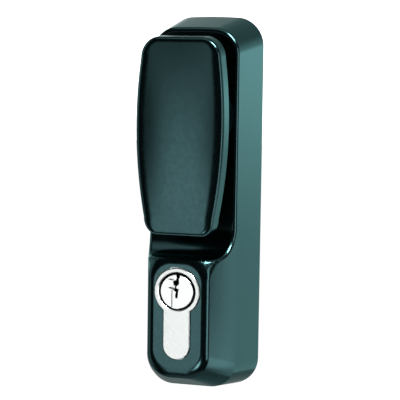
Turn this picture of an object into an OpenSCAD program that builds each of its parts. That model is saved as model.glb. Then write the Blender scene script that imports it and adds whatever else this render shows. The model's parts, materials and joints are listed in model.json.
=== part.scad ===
// Outside half of a knob lockset: a cast housing with a paddle knob above a profile lock cylinder.
// The key moves a dog clutch that connects the knob to a square spindle, or lets the knob turn free.
// Origin on the knob axis at the door face. +X right, +Y into the door, +Z up. Sizes in millimetres.

/* [Housing] */
// Width of the housing at the door
house_w = 38; // [37:0.5:46]
// Height of the housing above the knob axis, at the door
house_top = 36.2; // [34:0.1:44]
// Height of the housing below the knob axis, at the door
house_bottom = 102; // [99:0.5:115]
// Corner radius of the outline at the door
house_corner = 10.5; // [9:0.5:13]
// Depth from the door to the recess floor behind the knob
upper_d = 23.5; // [22:0.5:28]
// Lean of each side wall over that depth
side_draft = 2.4; // [1:0.1:2.8]
// Lean of the top wall over that depth
top_draft = 4.3; // [2:0.1:5]
// Lean of the bottom wall over that depth
bottom_draft = 3; // [1:0.1:4]
// Rounding of the rim around the recess floor
rim_edge = 1.2; // [0.4:0.1:1.6]
// Thickness of the side walls
wall = 2.4; // [1.8:0.1:2.8]
// Thickness of the recess floor
front_wall = 3; // [2:0.25:4]

/* [Pedestal] */
// Depth from the door to the face of the pedestal
ped_d = 39.5; // [36:0.5:44]
// Width of the pedestal at its face
ped_w = 21.8; // [20:0.2:25]
// Distance from the knob axis down to the foot of the pedestal face
ped_bottom = 93; // [91:0.2:97]
// Distance from the knob axis down to the shelf
shelf = 50.4; // [50:0.2:52.6]
// Radius of the scoop between the recess floor and the shelf
scoop_r = 10.5; // [6:0.5:12]
// Corner radius of the pedestal face
ped_corner = 8.6; // [4:0.1:9.5]
// Rounding of the edge of the pedestal face
ped_edge = 2; // [1:0.1:2.5]
// How far the sides of the pedestal bulge between the recess floor and its face
ped_swell = 0.5; // [0:0.1:0.8]
// Thickness of the pedestal face
ped_wall = 4; // [3:0.25:5]

/* [Knob] */
// Width of the knob
knob_w = 32.9; // [26:0.1:36]
// Height of the knob above its axis
knob_up = 28.5; // [24:0.5:34]
// Height of the knob below its axis
knob_down = 41.8; // [34:0.2:44]
// Depth from the door to the face of the knob
knob_d = 41; // [39:0.5:48]
// Thickness of the paddle
knob_t = 7; // [5:0.25:8]
// How much larger the rear outline of the paddle is
knob_flare = 0.4; // [0:0.1:1.5]
// Rounding of the edge of the knob face
knob_edge = 2.4; // [1:0.1:3]
// Radius of the upper corners of the knob
knob_top_r = 7.5; // [5:0.1:10]
// Radius of the lower corners of the knob
knob_bottom_r = 6; // [4:0.1:8]
// Radius of the long curve of each side of the knob
knob_side_r = 180; // [120:5:300]
// Radius of the neck behind the paddle
neck_r = 10.8; // [9.5:0.1:12]
// Radius of the shank
shank_r = 7.5; // [7.3:0.1:8]
// Turn of the knob to each side, in degrees
knob_turn = 60; // [40:1:65]

/* [Boss] */
// Radius of the boss at its front
boss_r = 11; // [10.6:0.1:12]
// Radius of the boss at the recess floor
boss_foot = 15.8; // [14:0.1:15.8]
// Height of the boss above the recess floor
boss_h = 6; // [5:0.25:6.5]
// Outer radius of the shank bush
bush_r = 9; // [8.7:0.1:9.6]
// Thickness of the flange of the shank bush
bush_flange_t = 1.2; // [0.8:0.1:2]

/* [Lock cylinder] */
// Distance from the knob axis down to the cylinder axis
cyl_drop = 62; // [61.4:0.1:63]
// Diameter of the head of the cylinder
cyl_head = 17; // [16.5:0.1:17.4]
// Width of the tail of the cylinder
cyl_tail_w = 10; // [9.6:0.1:10.4]
// Height of the cylinder over head and tail
cyl_tall = 33; // [32:0.1:34]
// Length of the cylinder in front of the cam
cyl_front_l = 30; // [28:0.5:31]
// How far the cylinder stands out of the pedestal
cyl_proud = 0.7; // [0.2:0.1:2]
// Radius of the plug
plug_r = 6.5; // [6.2:0.1:6.7]
// Radius of the pin chambers
chamber_r = 1.45; // [1.2:0.05:1.6]
// Distance between the pin chambers
chamber_pitch = 5; // [4:0.1:5.4]
// Reach of the cam from the cylinder axis
cam_reach = 14.7; // [14:0.1:15]
// Width of the cam finger
cam_w = 7.4; // [6.8:0.1:8]
// Turn of the key, in degrees
key_turn = 90; // [80:1:95]

/* [Clutch] */
// Thickness of the back plate
plate_t = 2.5; // [2:0.1:3]
// Travel of the clutch ring
clutch_travel = 3; // [2.8:0.1:3.4]
// Outer radius of the clutch ring and of the drive disc
ring_r = 12.6; // [12.4:0.1:12.9]
// Length of the clutch ring
ring_len = 6; // [5.4:0.1:6.4]
// Width of the groove around the clutch ring
groove_w = 2; // [1.8:0.1:2.4]
// Thickness of the slotted flange of the drive disc
flange_t = 2.5; // [2.2:0.1:2.7]
// Width of each clutch dog
dog_w = 5; // [4:0.1:6]
// Side of the square that the clutch ring slides on
follower_sq = 14; // [13:0.1:14.4]
// Side of the square spindle
spindle_sq = 8; // [7:0.1:8.4]
// Length of the spindle behind the door face
spindle_out = 40; // [20:1:60]
// Thickness of the lock slide
slide_t = 1.6; // [1.2:0.1:1.8]
// Radius of the wire of the return spring
spring_wire_r = 0.75; // [0.5:0.05:0.8]
// Radius of the fork guide pins
guide_r = 1.5; // [1.2:0.1:1.8]

/* [Fixing] */
// Height of the upper fixing bolt above the knob axis
fix_up = 25; // [24.5:0.5:27]
// Distance of the lower fixing bolt below the knob axis
fix_down = 33; // [31:0.5:36]
// Radius of the thread of the fixing bolts, at its root
fix_r = 2.5; // [2:0.1:2.6]
// Radius of the pillars that hold the threaded inserts
pillar_r = 5; // [4.6:0.1:5.4]

/* [Hidden] */
$fn = 48;
hull_fn = 32;
skin = 0.01;
big = 100;

// Clearances: a seat, a running fit, end play, a loose hole, a gap between moving pieces
seat = 0.02;
run = 0.05;
play = 0.2;
loose = 0.15;
gap = 0.3;
// How far a piece of one casting runs into the next
sink = 0.5;

// Housing, from the door outwards
front_in = upper_d - front_wall;
ped_root = upper_d - rim_edge;
ped_in = ped_d - ped_wall;
corner_draft = 1;
boss_d = upper_d + boss_h;
knob_rear = knob_d - knob_t;
rear_round = 0.8;
neck_flare = 3;
post_r = 2.6;
post_root = front_in + sink;
screw_deep = 8;
washer_t = 0.34;

// Clutch stack, from the door outwards
ring_rear = plate_t + gap + clutch_travel;
ring_front = ring_rear + ring_len;
ring_wall = 1.3;
disc_rear = ring_front + play;
disc_front = disc_rear + flange_t;
hub_front = front_in - bush_flange_t - play;
hub_r = bush_r + 0.8;
clip_t = 1;
clip_bite = 0.8;
clip_front = disc_rear - play / 2;
clip_rear = clip_front - clip_t;
follower_front = clip_rear - 2 * play;
groove_rear = ring_rear + (ring_len - groove_w) / 2;
groove_mid = groove_rear + groove_w / 2;
groove_r = follower_sq / sqrt(2) + ring_wall;
fork_t = groove_w - 2 * play;
dog_sink = 1;
dog_in = groove_r - dog_sink;
dog_angles = [45, 135, 225, 315];
shank_sq = (shank_r - loose) * sqrt(2);
stub_r = shank_sq / 2 - 0.6;
stub_clip_r = stub_r + 2.2;
pilot_r = 2.2;
pilot_l = 3.5;
spindle_front = follower_front - 2.6;
cross_pin_r = 1;
cross_pin_d = plate_t + 2;

// Return spring and the lug that it pushes
spring_r = hub_r + 0.8 + spring_wire_r;
spring_turns = 2;
lug_half = 1.5;
lug_reach = 2.4;
leg_x = lug_half + loose + spring_wire_r;
lug_foot = max(spring_r + spring_wire_r, ring_r) + gap;
lug_tip = lug_foot + lug_reach;
spring_post_r = 1.5;
spring_post_y = lug_tip + gap + spring_post_r;
leg_top = spring_post_y + spring_post_r + play;
stop_r = 1.3;
stop_at = lug_tip - 1.4;
stop_angle = knob_turn + asin((lug_half + stop_r + gap) / stop_at);

// Lock cylinder
cyl_face = ped_d + cyl_proud;
cyl_step = cyl_face - cyl_front_l;
cyl_rear = 0.2;
cyl_foot = cyl_tall - cyl_head / 2;
plug_face = cyl_face - 0.1;
plug_lip_r = plug_r + 0.3;
plug_lip_t = 2;
plug_stub_r = plug_r - 1.5;
plug_groove = cyl_rear + 0.5;
keyway_l = cyl_front_l - 2.5;
bridge_top = cam_reach + 1.3;
first_chamber = 6;
chambers = [for (i = [0:4]) cyl_face - first_chamber - i * chamber_pitch];
key_pin_l = [3.4, 2.6, 3.8, 3, 3.5];
driver_l = 6;
pin_spring_l = 7.4;
pin_wire_r = 0.18;
pin_spring_turns = 5;
chamber_plug_l = 3;
shear = plug_r + run / 2;
cam_hub_r = cyl_head / 2 - gap;
cam_front = cyl_step - gap;
cam_rear = 1.7;
m5_r = 2.5;
m5_head_r = 4.2;
m5_head_h = 3;
m5_cross = 4.8;
m5_y = -cyl_drop - cyl_foot + 4.3;
m5_d = (cyl_step + cyl_rear) / 2;

// Fork, guide pins and lock slide
guide_x = 8;
guide_y = -(ring_r + 5.9);
guide_sink = 1.4;
fork_arm_r = ring_r + 1.8;
fork_low = guide_y - 4;
fork_bar_top = fork_arm_r - ring_r - 10;
fork_pin_r = 1.4;
lug_half_t = 2;
lug_tall = 7;
fork_lug_x = guide_x + guide_r + gap;
slide_rear = plate_t + 0.5;
slide_web = 2;
slide_front = max(disc_rear + play, cam_front + gap + slide_web);
slide_x = min(ring_r + gap, in_half(slide_front) - slide_t - play);
tip_r = cam_w / 2;
tip_at = cam_reach - tip_r;
slide_travel = 2 * tip_at * sin(key_turn / 2);
slide_top = guide_y + 5;
jaw_gap = tip_r + 0.8;
jaw_t = 2.5;
jaw_in = tip_at * cos(key_turn / 2) + 1.5;
jaw_mid = -cyl_drop - slide_travel / 2;
slide_slope = atan(clutch_travel / slide_travel);
slot_l = norm([clutch_travel, slide_travel]);
slot_r = fork_pin_r + 0.1;

// Cylinder bracket on the left of the tail
tab_x = cyl_tail_w / 2 + 0.1;
tab_t = 2;
tab_rim = 0.8;
tab_half = max((cyl_step - cyl_rear) / 2 - tab_rim, m5_r + loose + tab_rim);
tab_rise = m5_head_r + 1;
foot_drop = 5.8;
foot_tall = 6.6;
foot_edge = 2.9;
m4_out = 4.2;
bracket_high = m5_y + tab_rise;
foot_high = m5_y - foot_drop;
bracket_low = foot_high - foot_tall;
bracket_x = tab_x + tab_t + m4_out;
foot_x = bracket_x + foot_edge;
bracket_y = (bracket_low + foot_high) / 2;
foot_rear = 4.5;
foot_t = 2;
foot_front = foot_rear + foot_t;
m4_r = 2;
m4_head_r = 3.5;
m4_head_h = 2.4;
m4_cross = 4;
bracket_post_r = 3;
rib_t = 2;

// Screws of the back plate and inserts for the fixing bolts
m3_r = 1.5;
m3_head_r = 2.9;
m3_cross = 3.2;
cross_deep = 1.3;
m3_sunk = 0.05;
plate_foot = 16;
plate_low = -(cyl_drop - plate_foot);
screw_edge = 4;
screw_x = min(in_half(front_in) - 3.5, slide_x - play - post_r);
screw_ys = [in_top(front_in) - screw_edge, plate_low + screw_edge];
screw_spots = [for (sx = [-1, 1]) for (y = screw_ys) [sx * screw_x, y]];
pillar_spots = [[0, fix_up], [0, -fix_down]];
insert_r = pillar_r - 1.2;
insert_l = 14;

// Outline of the housing at a depth from the door
function half(d) = house_w / 2 - side_draft * d / upper_d;
function top(d) = house_top - top_draft * d / upper_d;
function bottom(d) = -house_bottom + bottom_draft * d / upper_d;
function corner(d) = house_corner - corner_draft * d / upper_d;
function in_half(d) = half(d) - wall;
function in_top(d) = top(d) - wall;

// Outline of the pedestal at a depth from the door
function ped_share(d) = (d - ped_root) / (ped_d - ped_root);
function ped_half(d) = half(ped_root) + (ped_w / 2 - half(ped_root)) * ped_share(d)
    + 4 * ped_swell * ped_share(d) * (1 - ped_share(d));
function ped_foot(d) = bottom(ped_root) + (-ped_bottom - bottom(ped_root)) * ped_share(d);

// Right half of the knob outline, drawn in by an inset, from the top round to the bottom
function knob_half(y) = knob_w / 2 - pow(y + 2, 2) / (2 * knob_side_r);
function arc(c, r, a0, a1, n) =
    [for (i = [0:n]) let (a = a0 + (a1 - a0) * i / n) c + r * [cos(a), sin(a)]];
function knob_right(inset) =
    let (ty = knob_up - knob_top_r, by = knob_bottom_r - knob_down, n = 8)
    concat(
        arc([knob_half(ty) - knob_top_r, ty], knob_top_r - inset, 90, 3, n),
        [for (i = [1:n - 1]) let (y = ty + (by - ty) * i / n) [knob_half(y) - inset, y]],
        arc([knob_half(by) - knob_bottom_r, by], knob_bottom_r - inset, -9, -90, n));
function flip(points) = [for (i = [len(points) - 1:-1:0]) [-points[i][0], points[i][1]]];

// A round wire along a path: rings of points square to the path, joined by faces
function unit(v) = v / norm(v);
function ring(c, along, axis, r, sides) =
    let (u = unit(cross(along, axis)), v = unit(cross(u, along)))
    [for (i = [0:sides - 1]) c + r * (cos(360 * i / sides) * u + sin(360 * i / sides) * v)];
function heading(path, i) = unit(path[min(i + 1, len(path) - 1)] - path[max(i - 1, 0)]);

module wire(path, axis, r, sides) {
    n = len(path);
    points = [for (i = [0:n - 1]) each ring(path[i], heading(path, i), axis, r, sides)];
    walls = [for (k = [0:n - 2], i = [0:sides - 1])
        let (a = k * sides + i, b = k * sides + (i + 1) % sides)
        each [[a, a + sides, b + sides], [a, b + sides, b]]];
    ends = [[for (i = [0:sides - 1]) i], [for (i = [sides - 1:-1:0]) (n - 1) * sides + i]];
    polyhedron(points, concat(walls, ends));
}

// Pieces are drawn lying on the door, X across, Y up and Z out of the door, then stood up
module stand() rotate([90, 0, 0]) children();
module slab(d0, d1) translate([0, 0, d0]) linear_extrude(d1 - d0) children();
module rod(r, d0, d1) translate([0, 0, d0]) cylinder(r = r, h = d1 - d0);
module bar(side, d0, d1) translate([-side / 2, -side / 2, d0]) cube([side, side, d1 - d0]);
module at(spots) for (s = spots) translate([s[0], s[1], 0]) children();
module on_cylinder() translate([0, -cyl_drop, 0]) children();

module corner_discs(d, half_w, y1, y0, r1, r0) {
    for (sx = [-1, 1]) {
        translate([sx * (half_w - r1), y1 - r1, d - skin]) cylinder(r = r1, h = skin, $fn = hull_fn);
        translate([sx * (half_w - r0), y0 + r0, d - skin]) cylinder(r = r0, h = skin, $fn = hull_fn);
    }
}

module upper_block() {
    hull() {
        corner_discs(skin, half(0), top(0), bottom(0), corner(0), corner(0));
        for (a = [0:30:90])
            let (d = upper_d - rim_edge * (1 - sin(a)), i = rim_edge * (1 - cos(a)))
            corner_discs(d, half(d) - i, top(d) - i, bottom(d) + i, corner(d) - i, corner(d) - i);
    }
}

// The cut that leaves the shelf and the scoop above it
module scoop() {
    centre = [upper_d + scoop_r, scoop_r - shelf];
    rotate([0, -90, 0]) linear_extrude(house_w + 10, center = true) {
        translate([upper_d - sink, centre[1]]) square(big);
        translate([centre[0], -shelf]) square(big);
        translate(centre) circle(scoop_r);
    }
}

module pedestal_block() {
    root_top = scoop_r + 1.5 - shelf;
    root_r = 4;
    difference() {
        hull() {
            for (t = [0, 0.3, 0.6])
                let (d = ped_root + t * (ped_d - ped_root))
                corner_discs(d, ped_half(d), root_top + t * (-shelf - root_top), ped_foot(d),
                    root_r + t * (ped_corner - root_r),
                    corner(ped_root) + t * (ped_corner - corner(ped_root)));
            for (a = [0:18:90])
                let (d = ped_d - ped_edge * (1 - sin(a)), i = ped_edge * (1 - cos(a)))
                corner_discs(d, ped_half(d) - i, -shelf - i, ped_foot(d) + i, ped_corner - i, ped_corner - i);
        }
        scoop();
    }
}

module boss() {
    flare = boss_foot - boss_r;
    rotate_extrude() difference() {
        translate([0, upper_d - 1]) square([boss_foot, boss_h + 1]);
        translate([boss_foot, upper_d + flare]) circle(flare);
        translate([boss_r, upper_d + flare]) square([big, big]);
    }
}

module cavity() {
    hull() for (d = [-1, front_in])
        corner_discs(d, in_half(d), in_top(d), bottom(d) + wall, corner(d) - wall, corner(d) - wall);
    inner_r = 4;
    hull() {
        corner_discs(front_in - sink, ped_half(ped_root) - wall - play, 1 - shelf, ped_foot(ped_root) + wall,
            inner_r, 7);
        corner_discs(ped_in, ped_half(ped_in) - wall, -shelf - 2.8, ped_foot(ped_in) + wall,
            inner_r, inner_r);
    }
}

module profile(extra) {
    tail_r = cyl_tail_w / 2 + extra;
    tail_y = cyl_tail_w / 2 - cyl_foot;
    circle(cyl_head / 2 + extra);
    translate([-tail_r, tail_y]) square([2 * tail_r, -tail_y]);
    translate([0, tail_y]) circle(tail_r);
}

// Posts, pillars, stops and guides that are cast with the housing
module housing_posts() {
    rib_x = in_half(ped_root) + 0.8;
    rib_rear = foot_front + 2;
    guide_rib_x = slide_x - 1;
    guide_rib_rear = slide_front + gap;
    at(screw_spots) rod(post_r, plate_t, post_root);
    at(pillar_spots) rod(pillar_r, 0, post_root);
    translate([0, spring_post_y, 0]) rod(spring_post_r, disc_front + play / 2, post_root);
    for (s = [-1, 1]) rotate(s * stop_angle)
        translate([0, stop_at, 0]) rod(stop_r, disc_front + play, post_root);
    translate([-bracket_x, bracket_y, 0]) rod(bracket_post_r, foot_front, ped_root + 3);
    translate([-rib_x, bracket_y - rib_t / 2, rib_rear])
        cube([rib_x - bracket_x, rib_t, ped_root - rib_rear]);
    for (y = [plate_low + 1, plate_low + 15]) translate([guide_rib_x, y, guide_rib_rear])
        cube([in_half(front_in) + sink - guide_rib_x, 5, post_root - guide_rib_rear]);
}

module housing() {
    color("darkslategray") stand() difference() {
        union() {
            difference() {
                union() {
                    upper_block();
                    pedestal_block();
                    boss();
                }
                cavity();
            }
            housing_posts();
        }
        rod(bush_r + seat, front_in - 1, boss_d + 1);
        on_cylinder() slab(ped_root, ped_d + 1) profile(loose);
        at(screw_spots) rod(m3_r + seat, plate_t - 1, plate_t + screw_deep + sink);
        at(pillar_spots) rod(insert_r + seat, -1, insert_l + sink);
        for (s = [-1, 1]) translate([s * guide_x, guide_y, 0])
            rod(guide_r + seat, front_in - 1, front_in + guide_sink + 0.1);
        translate([-bracket_x, bracket_y, 0]) rod(m4_r + seat, foot_rear, foot_front + screw_deep + sink);
    }
}

module shank_bush() {
    color("goldenrod") stand() difference() {
        union() {
            rod(bush_r, front_in - bush_flange_t, boss_d - play);
            rod(hub_r, front_in - bush_flange_t, front_in - seat);
        }
        rod(shank_r + run, 0, big);
    }
}

module thrust_washer() {
    color("ivory") stand() difference() {
        rod(neck_r - play, boss_d + seat, boss_d + seat + washer_t);
        rod(shank_r + run, 0, big);
    }
}

module back_plate_outline() {
    r = corner(plate_t) - wall;
    x = in_half(plate_t) - loose;
    y = in_top(plate_t) - loose;
    for (s = [-1, 1]) translate([s * (x - r), y - r]) circle(r);
    translate([r - x, y - 2 * r]) square([2 * (x - r), 2 * r]);
    translate([-x, plate_low]) square([2 * x, y - r - plate_low]);
}

module back_plate() {
    color("silver") stand() difference() {
        slab(0, plate_t - seat) back_plate_outline();
        rod(follower_sq / 2 + run, -1, big);
        at(pillar_spots) rod(pillar_r + loose, -1, big);
        at(screw_spots) {
            rod(m3_r + loose, -1, big);
            translate([0, 0, -seat]) cylinder(r1 = m3_head_r + 0.1, r2 = m3_r + loose, h = m3_head_r - m3_r);
        }
        for (s = [-1, 1]) translate([s * guide_x, guide_y, 0]) rod(guide_r + seat, -1, big);
    }
}

// A cross recess of the given width, cut into a head that faces the door
module cross_recess(size) {
    for (a = [0, 90]) rotate(a)
        translate([-size / 2, -size / 8, -1]) cube([size, size / 4, cross_deep + 1]);
}

module back_plate_screws() {
    color("lightgray") stand() at(screw_spots) difference() {
        union() {
            translate([0, 0, m3_sunk]) cylinder(r1 = m3_head_r, r2 = m3_r, h = m3_head_r - m3_r);
            rod(m3_r, m3_sunk, plate_t + screw_deep);
        }
        cross_recess(m3_cross);
    }
}

module fixing_inserts() {
    color("gray") stand() at(pillar_spots) difference() {
        rod(insert_r, 0, insert_l);
        rod(fix_r, -1, big);
    }
}

module fork_guide_pins() {
    color("lightgray") stand() for (s = [-1, 1])
        translate([s * guide_x, guide_y, 0]) rod(guide_r, gap, front_in + guide_sink);
}

module return_spring() {
    lead = asin(leg_x / spring_r);
    turn = 360 * spring_turns - 2 * lead;
    z_front = front_in - spring_wire_r - loose;
    z_rear = disc_front + spring_wire_r + loose;
    steps = 16 * spring_turns;
    coil = [for (i = [0:steps]) let (a = 90 + lead + turn * i / steps)
        [spring_r * cos(a), spring_r * sin(a), z_front + (z_rear - z_front) * i / steps]];
    path = concat([[-leg_x, leg_top, z_front]], coil, [[leg_x, leg_top, z_rear]]);
    color("dimgray") stand() wire(path, [0, 0, 1], spring_wire_r, 8);
}

module cylinder_case() {
    color("gainsboro") stand() on_cylinder() difference() {
        union() {
            slab(cyl_step, cyl_face) profile(0);
            slab(cyl_rear, cyl_step + 1) difference() {
                profile(0);
                translate([-big / 2, -bridge_top]) square(big);
            }
        }
        rod(plug_r + run, -1, big);
        rod(plug_lip_r + run, cyl_face - plug_lip_t, big);
        for (z = chambers) translate([0, 0, z]) rotate([90, 0, 0]) cylinder(r = chamber_r, h = big);
        translate([0, m5_y + cyl_drop, m5_d]) rotate([0, 90, 0])
            cylinder(r = m5_r + seat, h = big, center = true);
    }
}

// A round pin in a chamber, between two distances below the cylinder axis
module chamber_pin(z, r, y0, y1) {
    translate([0, -y0, z]) rotate([90, 0, 0]) cylinder(r = r, h = y1 - y0);
}

module driver_pins() {
    color("goldenrod") stand() on_cylinder() for (z = chambers)
        chamber_pin(z, chamber_r - run, shear + run, shear + driver_l);
}

module pin_springs() {
    coil_r = chamber_r - run - pin_wire_r;
    steps = 8 * pin_spring_turns;
    start = shear + driver_l + pin_wire_r + seat;
    rise = pin_spring_l - 2 * pin_wire_r - 2 * seat;
    color("gray") stand() on_cylinder() for (z = chambers) {
        path = [for (i = [0:steps]) let (a = 360 * pin_spring_turns * i / steps)
            [coil_r * cos(a), -start - rise * i / steps, z + coil_r * sin(a)]];
        wire(path, [0, 1, 0], pin_wire_r, 5);
    }
}

module chamber_plugs() {
    start = shear + driver_l + pin_spring_l;
    color("goldenrod") stand() on_cylinder() for (z = chambers)
        chamber_pin(z, chamber_r - seat, start, start + chamber_plug_l);
}

module cylinder_bracket() {
    color("silver") stand() difference() {
        union() {
            translate([-tab_x - tab_t, bracket_low, m5_d - tab_half])
                cube([tab_t, bracket_high - bracket_low, 2 * tab_half]);
            translate([-foot_x, bracket_low, foot_rear])
                cube([foot_x - tab_x, foot_high - bracket_low, foot_t - seat]);
        }
        translate([0, m5_y, m5_d]) rotate([0, -90, 0]) cylinder(r = m5_r + loose, h = big);
        translate([-bracket_x, bracket_y, 0]) rod(m4_r + loose, 0, big);
    }
}

module cylinder_screw() {
    head = tab_x + tab_t + seat;
    color("lightgray") stand() translate([-head, m5_y, m5_d]) rotate([0, 90, 0]) difference() {
        union() {
            translate([0, 0, -m5_head_h]) cylinder(r = m5_head_r, h = m5_head_h);
            cylinder(r = m5_r, h = head + cyl_tail_w / 2 - 0.5);
        }
        translate([0, 0, -m5_head_h]) cross_recess(m5_cross);
    }
}

module bracket_screw() {
    color("lightgray") stand() translate([-bracket_x, bracket_y, foot_rear - seat]) difference() {
        union() {
            rod(m4_head_r, -m4_head_h, 0);
            rod(m4_r, -seat, foot_t + screw_deep);
        }
        translate([0, 0, -m4_head_h]) cross_recess(m4_cross);
    }
}

// The paddle with its rounded face edge and wider rear outline, as thin slices under one hull
module paddle() {
    edge_depth = knob_edge * 0.7;
    hull() {
        slice(knob_rear, rear_round - knob_flare);
        slice(knob_rear + rear_round, -knob_flare);
        for (a = [0:15:90])
            slice(knob_d - edge_depth * (1 - sin(a)), knob_edge * (1 - cos(a)));
    }
}

module slice(d, inset) {
    right = knob_right(inset);
    translate([0, 0, d - skin]) linear_extrude(skin) polygon(concat(right, flip(right)));
}

module knob() {
    color("darkslategray") stand() difference() {
        union() {
            paddle();
            rotate_extrude() difference() {
                translate([0, boss_d + 2 * play]) square([neck_r + neck_flare, knob_rear - boss_d]);
                translate([neck_r + neck_flare, knob_rear - neck_flare]) circle(neck_flare);
                translate([neck_r, 0]) square([big, knob_rear - neck_flare]);
            }
            rod(shank_r, hub_front + play / 2, knob_rear + sink);
            bar(shank_sq, disc_rear, hub_front + sink);
            rod(stub_r, clip_rear - play, disc_rear + sink);
        }
        difference() {
            rod(big, clip_rear, clip_front);
            rod(stub_r - clip_bite, 0, big);
        }
        rod(pilot_r + run, 0, follower_front + pilot_l + sink);
    }
}

module drive_disc() {
    color("darkgray") stand() difference() {
        union() {
            rod(ring_r, disc_rear, disc_front);
            rod(hub_r, disc_rear, hub_front);
            translate([-lug_half, hub_r, disc_rear]) cube([2 * lug_half, lug_tip - hub_r, flange_t]);
            translate([-lug_half, lug_foot, disc_rear])
                cube([2 * lug_half, lug_tip - lug_foot, front_in - gap - disc_rear]);
        }
        translate([0, 0, disc_rear - 1]) bar(shank_sq + 2 * run, 0, big);
        for (a = dog_angles) rotate(a) translate([dog_in - loose, -dog_w / 2 - loose, disc_rear - 1])
            cube([big, dog_w + 2 * loose, flange_t + 2]);
    }
}

// An open ring that snaps into a groove: the gap is at the bottom
module circlip(r_in, r_out, d0, d1) {
    mouth = r_in * 0.6;
    eye_r = 0.5;
    difference() {
        rod(r_out, d0, d1);
        rod(r_in, d0 - 1, d1 + 1);
        translate([-mouth, -big, d0 - 1]) cube([2 * mouth, big, d1 - d0 + 2]);
        for (s = [-1, 1]) translate([s * (mouth + 2 * eye_r), -(r_in + r_out) / 2, 0])
            rod(eye_r, d0 - 1, d1 + 1);
    }
}

module shank_circlip() {
    color("gray") stand()
        circlip(stub_r - clip_bite + seat, stub_clip_r, clip_rear + seat, clip_front - seat);
}

module spindle_follower() {
    color("darkgray") stand() difference() {
        union() {
            rod(follower_sq / 2, seat, plate_t + play);
            bar(follower_sq, plate_t + play / 2, follower_front);
            rod(pilot_r, follower_front - sink, follower_front + pilot_l);
        }
        bar(spindle_sq + 2 * run, -1, spindle_front + play / 2);
        cross_hole();
    }
}

module drive_spindle() {
    color("silver") stand() difference() {
        bar(spindle_sq, -spindle_out, spindle_front);
        cross_hole();
    }
}

module cross_hole() {
    translate([0, 0, cross_pin_d]) rotate([0, 90, 0])
        cylinder(r = cross_pin_r + seat, h = big, center = true);
}

module spindle_pin() {
    color("gray") stand() translate([0, 0, cross_pin_d]) rotate([0, 90, 0])
        cylinder(r = cross_pin_r, h = follower_sq - 2 * play, center = true);
}

module clutch_ring() {
    color("darkgray") stand() difference() {
        union() {
            rod(ring_r, ring_rear, groove_rear);
            rod(groove_r, ring_rear, ring_front);
            rod(ring_r, groove_rear + groove_w, ring_front);
            intersection() {
                for (a = dog_angles) rotate(a) translate([dog_in, -dog_w / 2, ring_front - sink])
                    cube([ring_r, dog_w, disc_front - ring_front + play]);
                rod(ring_r - play, 0, big);
            }
        }
        bar(follower_sq + 2 * run, 0, ring_front + skin);
        rod(stub_clip_r + 2 * play, clip_rear - gap, ring_front + skin);
    }
}

module shift_fork() {
    z0 = groove_mid - fork_t / 2;
    z1 = groove_mid + fork_t / 2;
    left = -guide_x - 4;
    right = slide_x - gap;
    color("lightsteelblue") stand() difference() {
        union() {
            intersection() {
                rod(fork_arm_r, z0, z1);
                slab(z0, z1) translate([-big, -big]) square([big + right, big - 2]);
            }
            slab(z0, z1) translate([left, fork_low]) square([right - left, fork_bar_top - fork_low]);
            slab(groove_mid - lug_half_t, groove_mid + lug_half_t)
                translate([fork_lug_x, fork_low]) square([right - fork_lug_x, lug_tall]);
        }
        rod(groove_r + gap, 0, big);
        for (s = [-1, 1]) translate([s * guide_x, guide_y, 0]) rod(guide_r + run, 0, big);
        translate([fork_lug_x, guide_y, groove_mid]) rotate([0, 90, 0])
            cylinder(r = fork_pin_r + seat, h = big);
    }
}

module fork_pin() {
    start = fork_lug_x + run;
    color("gray") stand() translate([start, guide_y, groove_mid]) rotate([0, 90, 0])
        cylinder(r = fork_pin_r, h = slide_x + slide_t + play - start);
}

// The plate is drawn with depth across and height up, then turned to face sideways
module lock_slide_outline() {
    low = jaw_mid - jaw_gap - jaw_t;
    difference() {
        translate([slide_rear, low]) square([slide_front - slide_rear, slide_top - low]);
        translate([groove_mid, guide_y]) rotate(180 - slide_slope) slot();
        translate([0, jaw_mid - jaw_gap]) square([cam_front + gap, 2 * jaw_gap]);
    }
}

module slot() {
    for (y = [0, slot_l]) translate([0, y]) circle(slot_r);
    translate([-slot_r, 0]) square([2 * slot_r, slot_l]);
}

module lock_slide() {
    color("lightsteelblue") stand() {
        translate([slide_x + slide_t, 0, 0]) rotate([0, -90, 0]) linear_extrude(slide_t) lock_slide_outline();
        for (y = [jaw_mid + jaw_gap, jaw_mid - jaw_gap - jaw_t]) translate([jaw_in, y, slide_rear])
            cube([slide_x + sink - jaw_in, jaw_t, cam_front - slide_rear - 2 * play]);
    }
}

module keyway() {
    polygon([[0.75, big], [0.75, 2.6], [-0.2, 1.6], [-0.2, 1.1], [0.6, 0.4], [0.3, -0.6], [0.4, -1.4],
        [0.2, -2.6], [-0.7, -2.6], [-0.7, -1.2], [-0.2, -0.4], [-1.4, 0.2], [-1.3, 2.2], [-1.4, 3.8],
        [-0.3, 4.2], [0.15, 5], [0.15, big]]);
}

module key_plug() {
    color("whitesmoke") stand() on_cylinder() difference() {
        union() {
            rod(plug_r, cyl_step + play / 2, plug_face);
            rod(plug_lip_r, cyl_face - plug_lip_t + play / 2, plug_face);
            rod(plug_stub_r, cyl_rear + play, cyl_step + sink);
        }
        slab(cyl_face - keyway_l, cyl_face + 1) keyway();
        for (z = chambers) translate([0, 0, z]) rotate([90, 0, 0]) cylinder(r = chamber_r, h = big);
        difference() {
            rod(big, plug_groove, cam_rear - play / 2);
            rod(plug_stub_r - clip_bite, 0, big);
        }
    }
}

module key_pins() {
    color("goldenrod") stand() on_cylinder() for (i = [0:len(chambers) - 1])
        chamber_pin(chambers[i], chamber_r - run, shear - run * 2 - key_pin_l[i], shear - run * 2);
}

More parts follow.
